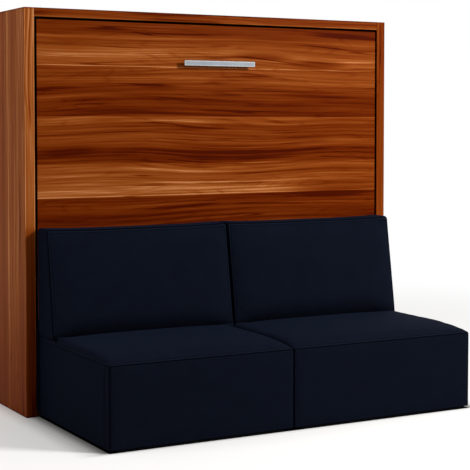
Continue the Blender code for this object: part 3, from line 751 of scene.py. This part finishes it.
def back_cover(end):
    """A back's cover: a leaning, crowned front panel, sewn to the boxing round its ends and top."""
    board_low, board_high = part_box(f"back_board_{end}")
    foam_low, foam_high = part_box(f"back_cushion_{end}")
    low = Vector((foam_low.x, board_low.y - BACK_STEP_FORWARD, board_low.z + 0.0004))
    high = Vector((foam_high.x, board_high.y + 0.0005, foam_high.z))
    if end == "left":
        low.x -= LEFT_BULGE
    else:
        high.x += RIGHT_BULGE
    skin = Skin()
    skin.box(low, high, [spread(low[axis], high[axis], BACK_MARKS, PANEL_STEP) for axis in range(3)])
    inner_x = high.x if end == "left" else low.x

    def shape(x, y, z):
        place = rounded((x, y, z), low, high, BACK_ROUND)
        across, upward = share(x, low.x, high.x), share(z, low.z, high.z)
        rise = (z - low.z) / (high.z - low.z)
        forward = (high.y - y) / (high.y - low.y)
        full = (1 - across ** 6) * rolled(z - low.z, BACK_ROLL) * (1 - np.maximum(upward, 0) ** 4)
        place[1] += BACK_LEAN * rise * forward - BACK_CROWN * full * (y < low.y + TINY)
        tucked = INNER_TUCK * (1 - upward ** 4) * (abs(x - inner_x) < TINY)
        place[0] += np.sign(low.x + high.x - 2 * inner_x) * tucked
        top_low, top_high = Vector((low.x, -high.z)), Vector((high.x, -low.z))
        place[0], flipped = rounded_plan(place[0], -place[2], top_low, top_high, BACK_CORNER)
        drop = BACK_END_DROP * np.clip(abs(across) * 5 - 3.5, 0, 1) * np.clip(1 - rise * 9, 0, 1)
        place[2] = -drop + (0.008 * across ** 4 + 0.001) * np.clip(rise * 10 - 9, 0, 1) - flipped
        return place

    def gap(x, y, z):
        on_front = y < low.y + TINY
        from_edge = np.minimum(np.minimum(x - low.x, high.x - x), high.z - z)
        way = np.where(on_front, from_edge, low.y - y) - BACK_SEAM
        hem = z - low.z - 0.004 - 0.014 * (1 - share(x, low.x, high.x) ** 4)
        way = np.where(on_front & (hem < 0.02) & (abs(hem) < way), -abs(hem), way)
        return np.where(on_front | (z > low.z + TINY), np.clip(way, -0.05, 0.05), -0.05)

    # Painted shade: dark at the foot of the front, where it meets the seat, reaching highest in the middle,
    # and on the ends
    def shaded(x, y, z):
        tall = 0.035 + 0.085 * (1 - share(x, low.x, high.x) ** 4)
        foot = np.clip(1 - (z - low.z) / tall, 0, 1) ** 1.3 * (y < low.y + 0.02)
        return np.maximum(foot, 0.34 * (np.minimum(x - low.x, high.x - x) < TINY))

    piece, flat = skin.lay(f"back_cover_{end}", shape, gap, shaded)
    x, y, z = flat.T
    held = (abs(gap(x, y, z)) < 0.007) | (z < low.z + 0.02) | (y > high.y - TINY)
    reach = np.where(y < low.y + TINY, 0.006, 0.003)
    settle(piece, held, np.where(abs(x - inner_x) < TINY, 0.0004, reach))
    press_seams(piece, 0.0022, 0.0024)
    refine(piece)
    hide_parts(f"back_cushion_{end}", f"back_board_{end}")
    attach(piece, f"back_{end}")
    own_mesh(piece)
    return low, high


CREASE_INSET = 0.007
CREASE_THICKNESS = 0.0012
CREASE_LEVELS = (0.396, 0.420, 0.437, 0.4395, 0.440, 0.441)
CREASE_PLACES = (0.0052, 0.0052, 0.0060, 0.0090, 0.0140, 0.0200)


def crease_strip(end, low, high):
    """A strip of cover cloth that closes the crease in front of the hinge."""
    skin = Skin()
    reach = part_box("seat_base_right")[1].x - CREASE_INSET
    xs = spread(max(low.x + 0.004, -reach), min(high.x - 0.004, reach), (0, 0.01), 0.05)
    steps = [0.25 * step for step in range(4 * len(CREASE_LEVELS) - 3)]
    skin.panel(1, 0.0, xs, steps, -1)

    def shape(x, y, z):
        places, levels = (np.interp(z, range(len(table)), table) for table in (CREASE_PLACES, CREASE_LEVELS))
        return np.array((x, places, levels))

    piece = skin.lay(f"crease_strip_{end}", shape, far_from_seams)[0]
    thicken = piece.modifiers.new("Solidify", "SOLIDIFY")
    thicken.thickness = CREASE_THICKNESS
    thicken.offset = 1
    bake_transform(piece)


MATTRESS_MARKS = (0, 0.009, 0.018, 0.026)
QUILT_PITCH = 0.07
QUILT_DEPTH = 0.004


def mattress_block():
    """The mattress: quilted faces, pressed in along their stitched lines, and rounded edges."""
    low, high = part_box("mattress")
    skin = Skin()
    skin.box(low, high, [spread(low[axis], high[axis], MATTRESS_MARKS, QUILT_PITCH / 4) for axis in range(3)])

    def stitched(way):
        return np.cos((way - QUILT_PITCH / 2) * np.pi / QUILT_PITCH) ** 40

    def shape(x, y, z):
        place = rounded((x, y, z), low, high, MATTRESS_MARKS[-1])
        lines = np.maximum(stitched(x + z), stitched(x - z))
        inward = np.sign(place[1] - (low.y + high.y) / 2) * QUILT_DEPTH * lines
        faces = (np.abs(share(x, low.x, high.x)) < 0.97) & (np.abs(share(z, low.z, high.z)) < 0.97)
        place[1] -= inward * faces * ((y < low.y + 1e-6) | (y > high.y - 1e-6))
        return place

    piece = skin.lay("quilted_mattress", shape, far_from_seams)[0]
    piece.data.materials.clear()
    piece.data.materials.append(mattress_cloth())
    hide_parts("mattress")
    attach(piece, "bed")


for end in ("left", "right"):
    seat_cover(end)
    low, high = back_cover(end)
    crease_strip(end, low, high)
mattress_block()


FLOOR_COLOUR = (0.94, 0.93, 0.92, 1)
FLOOR_GLOW = (0.30, 0.295, 0.285, 1)
FLOOR_BOUNCE = (0.5, 0.49, 0.48, 1)
# Painted shade colours for the floor round and under the sofa
CONTACT_SHADE_COLOUR = (0.10, 0.093, 0.083, 1)
UNDER_SHADE_COLOUR = (0.002, 0.002, 0.002, 1)
BLACK = (0, 0, 0, 1)
WHITE = (1, 1, 1, 1)
SOFA_HALF = 1.036
SOFA_FRONT = 0.672
BACKDROP_LIGHT = 0.3
LAMP_SIZE = 1.6
LAMP_AIM = Vector((0, 0, 0.9))
LAMPS = (("key_lamp", (4.3, -5.0, 4.3), 460), ("fill_lamp", (-4.5, 0.2, 3.2), 34))
CAMERA_PLACE = (-3.4776, -6.2755, 1.5155)
CAMERA_TURN = (87.5, 0, -28.89)
CAMERA_LENS = 103.02
CAMERA_SHIFT = -0.1147


def studio():
    """Pale floor and backdrop, soft lamps, and the camera at the photograph's angle."""
    floor = bpy.data.objects.new("studio_floor", bpy.data.meshes.new("studio_floor"))
    bm = bmesh.new()
    bmesh.ops.create_grid(bm, x_segments=2, y_segments=2, size=60)
    bm.to_mesh(floor.data)
    bm.free()
    floor.location.z = -0.0005
    scene.collection.objects.link(floor)
    look = Look("studio_floor", roughness=1.0, specular_ior_level=0.0)
    seen = look.seen()
    x, y, _ = look.place()
    far = (x * x + y * y).sum_with("SQRT").rise(2.2, 6.0)
    # Painted shade on the floor: near black under the sofa, a dark contact shadow close round it, and no glow
    # beside it, so its shade shows deep
    shade_under_sofa = (1 - abs(x).rise(SOFA_HALF, SOFA_HALF + 0.008)) * (1 - abs(y).rise(0.664, SOFA_FRONT))
    shade_beside_sofa = (1 - abs(x).rise(1.05, 1.22)) * (1 - abs(y).rise(0.664, 0.70))
    contact_shade = (1 - abs(x).rise(SOFA_HALF, 1.11)) * (1 - abs(y).rise(0.650, SOFA_FRONT)) * 0.72
    ground = look.blend(far, FLOOR_COLOUR, BLACK)
    ground = look.blend(contact_shade, ground, CONTACT_SHADE_COLOUR)
    glow = look.blend(far, FLOOR_GLOW, WHITE)
    look.finish(
        base_color=look.blend(seen, FLOOR_BOUNCE, look.blend(shade_under_sofa, ground, UNDER_SHADE_COLOUR)),
        emission_color=look.blend(seen * (1 - shade_beside_sofa), BLACK, glow),
        emission_strength=1.0,
    )
    floor.data.materials.append(look.material)

    world = bpy.data.worlds.new("studio_backdrop")
    scene.world = world
    world.use_nodes = True
    nodes = Nodes(world.node_tree)
    back = world.node_tree.nodes["Background"]
    nodes.feed(back.inputs["Strength"], nodes.seen() * (1 - BACKDROP_LIGHT) + BACKDROP_LIGHT)
    nodes.feed(back.inputs["Color"], WHITE)

    for name, place, power in LAMPS:
        lamp = bpy.data.objects.new(name, bpy.data.lights.new(name, "AREA"))
        lamp.data.energy = power
        lamp.data.size = LAMP_SIZE
        lamp.location = place
        lamp.rotation_mode = "QUATERNION"
        lamp.rotation_quaternion = (Vector(place) - LAMP_AIM).to_track_quat("Z", "Y")
        scene.collection.objects.link(lamp)

    camera = bpy.data.objects.new("camera", bpy.data.cameras.new("camera"))
    camera.data.lens = CAMERA_LENS
    camera.data.sensor_width = 36
    camera.data.shift_y = CAMERA_SHIFT
    camera.location = CAMERA_PLACE
    camera.rotation_euler = [math.radians(angle) for angle in CAMERA_TURN]
    scene.collection.objects.link(camera)
    scene.camera = camera


studio()
